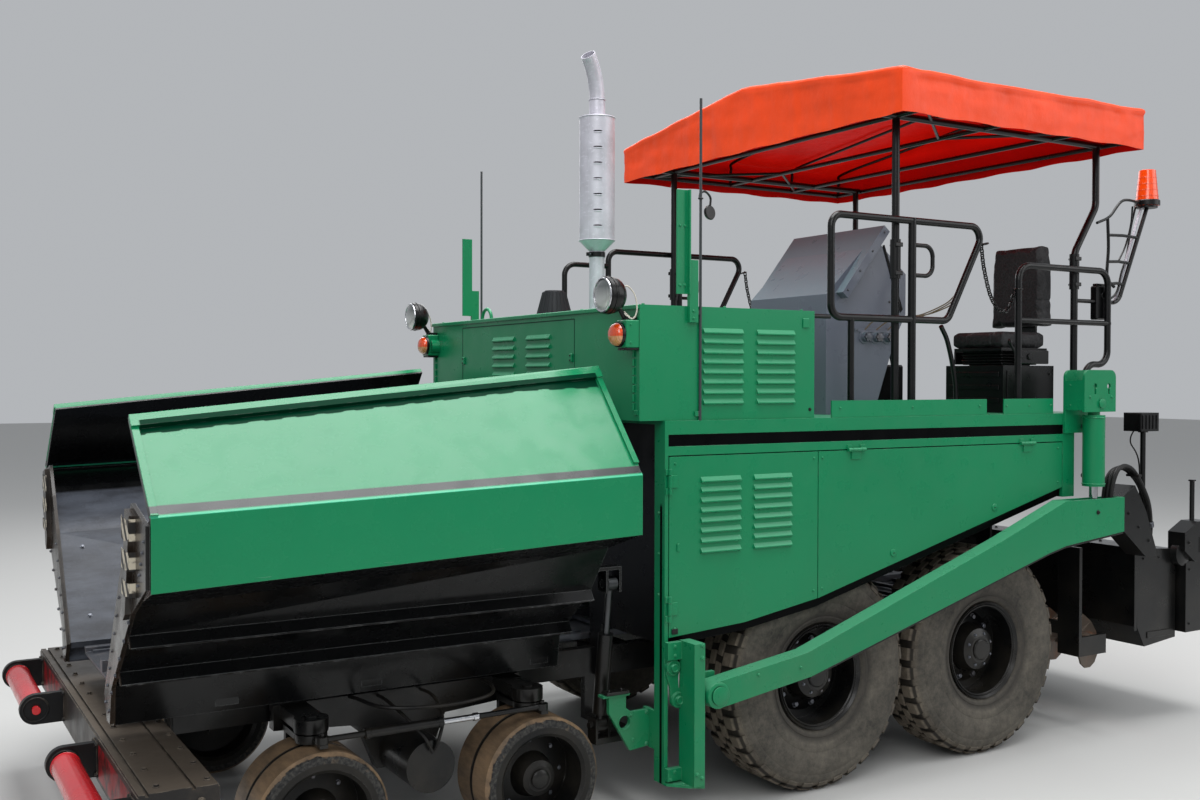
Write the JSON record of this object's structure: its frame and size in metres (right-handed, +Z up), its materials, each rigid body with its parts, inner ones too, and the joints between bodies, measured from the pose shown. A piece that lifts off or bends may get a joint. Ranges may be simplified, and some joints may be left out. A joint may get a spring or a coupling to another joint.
{
  "type": "wheeled asphalt paver",
  "caption": "Wheeled asphalt paver with a folding hopper, slat conveyors, augers, a raised screed on tow arms and a canopied operator's deck.",
  "frame": {"origin": "on the ground under the middle of the machine's bounding box", "axes": "+X forward to the push rollers, +Y to the machine's left, +Z up"},
  "size_m": [6.9948, 3.0094, 4.1334],
  "materials": {
    "green_paint": "satin paint",
    "black_paint": "semi-gloss paint",
    "beam_steel": "worn dark paint",
    "worn_steel": "scuffed plate",
    "engine_iron": "plain",
    "silver_steel": "dull bright steel",
    "dark_plastic": "matte",
    "amber_lens": "clear amber",
    "grey_paint": "satin paint",
    "black_vinyl": "grained",
    "orange_cloth": "coated cloth",
    "rod_chrome": "polished",
    "auger_iron": "rusted and worn",
    "red_paint": "gloss paint",
    "tyre_rubber": "dusty rubber",
    "solid_rubber": "dusty solid rubber"
  },
  "bodies": {
    "chassis": {"chassis_frame": "black_paint", "axle_beams": "black_paint", "push_beam": "beam_steel", "conveyor_floor": "worn_steel", "slat_conveyors": "worn_steel", "body_shell": "green_paint", "hood": "green_paint", "engine_block": "engine_iron", "exhaust": "silver_steel", "air_cleaner": "dark_plastic", "headlamps": "black_paint", "amber_lamps": "amber_lens", "guide_posts": "green_paint", "console": "grey_paint", "seat_base": "black_paint", "seat_cushion": "black_vinyl", "seat_back": "black_vinyl", "handrails": "black_paint", "canopy_frame": "black_paint", "canopy_cover": "orange_cloth", "side_brackets": "green_paint"},
    "screed_unit": {"tow_arms": "green_paint", "screed": "black_paint", "work_lamps": "black_paint"},
    "wing_left": {"wing_left": "green_paint"},
    "wing_barrel_left": {"wing_barrel_left": "black_paint"},
    "wing_rod_left": {"wing_rod_left": "rod_chrome"},
    "lift_barrel_left": {"lift_barrel_left": "green_paint"},
    "lift_rod_left": {"lift_rod_left": "rod_chrome"},
    "auger_left": {"auger_left": "auger_iron"},
    "push_roller_left": {"push_roller_left": "red_paint"},
    "tie_rod_left": {"tie_rod_left": "black_paint"},
    "door_left_front": {"door_left_front": "green_paint"},
    "door_left_rear": {"door_left_rear": "green_paint"},
    "rear_wheel_left_1": {"tyre_left_1": "tyre_rubber", "rim_left_1": "black_paint"},
    "knuckle_left_1": {"knuckle_left_1": "black_paint"},
    "front_wheel_left_1": {"front_wheel_left_1": "solid_rubber"},
    "rear_wheel_left_2": {"tyre_left_2": "tyre_rubber", "rim_left_2": "black_paint"},
    "knuckle_left_2": {"knuckle_left_2": "black_paint"},
    "front_wheel_left_2": {"front_wheel_left_2": "solid_rubber"},
    "wing_right": {"wing_right": "green_paint"},
    "wing_barrel_right": {"wing_barrel_right": "black_paint"},
    "wing_rod_right": {"wing_rod_right": "rod_chrome"},
    "lift_barrel_right": {"lift_barrel_right": "green_paint"},
    "lift_rod_right": {"lift_rod_right": "rod_chrome"},
    "auger_right": {"auger_right": "auger_iron"},
    "push_roller_right": {"push_roller_right": "red_paint"},
    "tie_rod_right": {"tie_rod_right": "black_paint"},
    "door_right_front": {"door_right_front": "green_paint"},
    "door_right_rear": {"door_right_rear": "green_paint"},
    "rear_wheel_right_1": {"tyre_right_1": "tyre_rubber", "rim_right_1": "black_paint"},
    "knuckle_right_1": {"knuckle_right_1": "black_paint"},
    "front_wheel_right_1": {"front_wheel_right_1": "solid_rubber"},
    "rear_wheel_right_2": {"tyre_right_2": "tyre_rubber", "rim_right_2": "black_paint"},
    "knuckle_right_2": {"knuckle_right_2": "black_paint"},
    "front_wheel_right_2": {"front_wheel_right_2": "solid_rubber"}
  },
  "joints": [
    {"name": "wing_left_fold", "type": "hinge", "parent": "chassis", "child": "wing_left", "pos_m": [2.1625, 0.6, 0.78], "axis": [1, 0, 0], "range_deg": [0, 40]},
    {"name": "wing_barrel_left_swing", "type": "hinge", "parent": "chassis", "child": "wing_barrel_left", "pos_m": [1.0125, 0.95, 0.48], "axis": [1, 0, 0], "range_deg": [0, 25]},
    {"name": "wing_rod_left_stroke", "type": "slide", "parent": "wing_barrel_left", "child": "wing_rod_left", "axis": [0, 0.1376, 0.9905], "range_m": [0, 0.226]},
    {"name": "wing_right_fold", "type": "hinge", "parent": "chassis", "child": "wing_right", "pos_m": [2.1625, -0.6, 0.78], "axis": [-1, 0, 0], "range_deg": [0, 40]},
    {"name": "wing_barrel_right_swing", "type": "hinge", "parent": "chassis", "child": "wing_barrel_right", "pos_m": [1.0125, -0.95, 0.48], "axis": [-1, 0, 0], "range_deg": [0, 25]},
    {"name": "wing_rod_right_stroke", "type": "slide", "parent": "wing_barrel_right", "child": "wing_rod_right", "axis": [0, -0.1376, 0.9905], "range_m": [0, 0.226]},
    {"name": "screed_lift", "type": "hinge", "parent": "chassis", "child": "screed_unit", "pos_m": [0.6075, 0, 0.67], "axis": [0, -1, 0], "range_deg": [0, 7.5]},
    {"name": "lift_barrel_left_swing", "type": "hinge", "parent": "chassis", "child": "lift_barrel_left", "pos_m": [-2.2375, 1.35, 2.06], "axis": [0, 1, 0], "range_deg": [0, 3.95]},
    {"name": "lift_rod_left_stroke", "type": "slide", "parent": "lift_barrel_left", "child": "lift_rod_left", "axis": [0, 0, -1], "range_m": [0, 0.382]},
    {"name": "lift_barrel_right_swing", "type": "hinge", "parent": "chassis", "child": "lift_barrel_right", "pos_m": [-2.2375, -1.35, 2.06], "axis": [0, 1, 0], "range_deg": [0, 3.95]},
    {"name": "lift_rod_right_stroke", "type": "slide", "parent": "lift_barrel_right", "child": "lift_rod_right", "axis": [0, 0, -1], "range_m": [0, 0.382]},
    {"name": "auger_left_spin", "type": "hinge", "parent": "chassis", "child": "auger_left", "pos_m": [-2.5275, 0.64, 0.54], "axis": [0, 1, 0], "continuous": true},
    {"name": "push_roller_left_spin", "type": "hinge", "parent": "chassis", "child": "push_roller_left", "pos_m": [3.4225, 0.925, 0.55], "axis": [0, 1, 0], "continuous": true},
    {"name": "rear_wheel_left_1_spin", "type": "hinge", "parent": "chassis", "child": "rear_wheel_left_1", "pos_m": [-0.2375, 1.03, 0.61], "axis": [0, 1, 0], "continuous": true},
    {"name": "rear_wheel_left_2_spin", "type": "hinge", "parent": "chassis", "child": "rear_wheel_left_2", "pos_m": [-1.4975, 1.03, 0.61], "axis": [0, 1, 0], "continuous": true},
    {"name": "knuckle_left_1_steer", "type": "hinge", "parent": "chassis", "child": "knuckle_left_1", "pos_m": [2.4725, 0.925, 0.68], "axis": [0, 0, 1], "range_deg": [-15, 15]},
    {"name": "front_wheel_left_1_spin", "type": "hinge", "parent": "knuckle_left_1", "child": "front_wheel_left_1", "pos_m": [2.4725, 0.925, 0.3], "axis": [0, 1, 0], "continuous": true},
    {"name": "knuckle_left_2_steer", "type": "hinge", "parent": "chassis", "child": "knuckle_left_2", "pos_m": [1.4025, 0.925, 0.68], "axis": [0, 0, 1], "range_deg": [-15, 15]},
    {"name": "front_wheel_left_2_spin", "type": "hinge", "parent": "knuckle_left_2", "child": "front_wheel_left_2", "pos_m": [1.4025, 0.925, 0.3], "axis": [0, 1, 0], "continuous": true},
    {"name": "tie_rod_left_shift", "type": "slide", "parent": "chassis", "child": "tie_rod_left", "axis": [1, 0, 0], "range_m": [-0.04, 0.04]},
    {"name": "door_left_front_open", "type": "hinge", "parent": "chassis", "child": "door_left_front", "pos_m": [0.7995, 1.262, 1.4], "axis": [0, 0, -1], "range_deg": [0, 95]},
    {"name": "door_left_rear_open", "type": "hinge", "parent": "chassis", "child": "door_left_rear", "pos_m": [-1.1375, 1.262, 1.827], "axis": [1, 0, 0], "range_deg": [0, 85]},
    {"name": "auger_right_spin", "type": "hinge", "parent": "chassis", "child": "auger_right", "pos_m": [-2.5275, -0.64, 0.54], "axis": [0, 1, 0], "continuous": true},
    {"name": "push_roller_right_spin", "type": "hinge", "parent": "chassis", "child": "push_roller_right", "pos_m": [3.4225, -0.925, 0.55], "axis": [0, 1, 0], "continuous": true},
    {"name": "rear_wheel_right_1_spin", "type": "hinge", "parent": "chassis", "child": "rear_wheel_right_1", "pos_m": [-0.2375, -1.03, 0.61], "axis": [0, 1, 0], "continuous": true},
    {"name": "rear_wheel_right_2_spin", "type": "hinge", "parent": "chassis", "child": "rear_wheel_right_2", "pos_m": [-1.4975, -1.03, 0.61], "axis": [0, 1, 0], "continuous": true},
    {"name": "knuckle_right_1_steer", "type": "hinge", "parent": "chassis", "child": "knuckle_right_1", "pos_m": [2.4725, -0.925, 0.68], "axis": [0, 0, 1], "range_deg": [-15, 15]},
    {"name": "front_wheel_right_1_spin", "type": "hinge", "parent": "knuckle_right_1", "child": "front_wheel_right_1", "pos_m": [2.4725, -0.925, 0.3], "axis": [0, 1, 0], "continuous": true},
    {"name": "knuckle_right_2_steer", "type": "hinge", "parent": "chassis", "child": "knuckle_right_2", "pos_m": [1.4025, -0.925, 0.68], "axis": [0, 0, 1], "range_deg": [-15, 15]},
    {"name": "front_wheel_right_2_spin", "type": "hinge", "parent": "knuckle_right_2", "child": "front_wheel_right_2", "pos_m": [1.4025, -0.925, 0.3], "axis": [0, 1, 0], "continuous": true},
    {"name": "tie_rod_right_shift", "type": "slide", "parent": "chassis", "child": "tie_rod_right", "axis": [1, 0, 0], "range_m": [-0.04, 0.04]},
    {"name": "door_right_front_open", "type": "hinge", "parent": "chassis", "child": "door_right_front", "pos_m": [0.7995, -1.262, 1.4], "axis": [0, 0, 1], "range_deg": [0, 95]},
    {"name": "door_right_rear_open", "type": "hinge", "parent": "chassis", "child": "door_right_rear", "pos_m": [-1.1375, -1.262, 1.827], "axis": [-1, 0, 0], "range_deg": [0, 85]}
  ],
  "couplings": [
    {"joint": "wing_barrel_left_swing", "follows": "wing_left_fold", "ratio": 0.618},
    {"joint": "wing_rod_left_stroke", "follows": "wing_left_fold", "m_per_rad": 0.32194},
    {"joint": "wing_barrel_right_swing", "follows": "wing_right_fold", "ratio": 0.618},
    {"joint": "wing_rod_right_stroke", "follows": "wing_right_fold", "m_per_rad": 0.32194},
    {"joint": "lift_barrel_left_swing", "follows": "screed_lift", "ratio": 0.5215},
    {"joint": "lift_rod_left_stroke", "follows": "screed_lift", "m_per_rad": 2.9031},
    {"joint": "lift_barrel_right_swing", "follows": "screed_lift", "ratio": 0.5215},
    {"joint": "lift_rod_right_stroke", "follows": "screed_lift", "m_per_rad": 2.9031},
    {"joint": "knuckle_left_2_steer", "follows": "knuckle_left_1_steer", "ratio": 1},
    {"joint": "tie_rod_left_shift", "follows": "knuckle_left_1_steer", "m_per_rad": -0.15},
    {"joint": "knuckle_right_1_steer", "follows": "knuckle_left_1_steer", "ratio": 1},
    {"joint": "knuckle_right_2_steer", "follows": "knuckle_left_1_steer", "ratio": 1},
    {"joint": "tie_rod_right_shift", "follows": "knuckle_left_1_steer", "m_per_rad": 0.15}
  ]
}
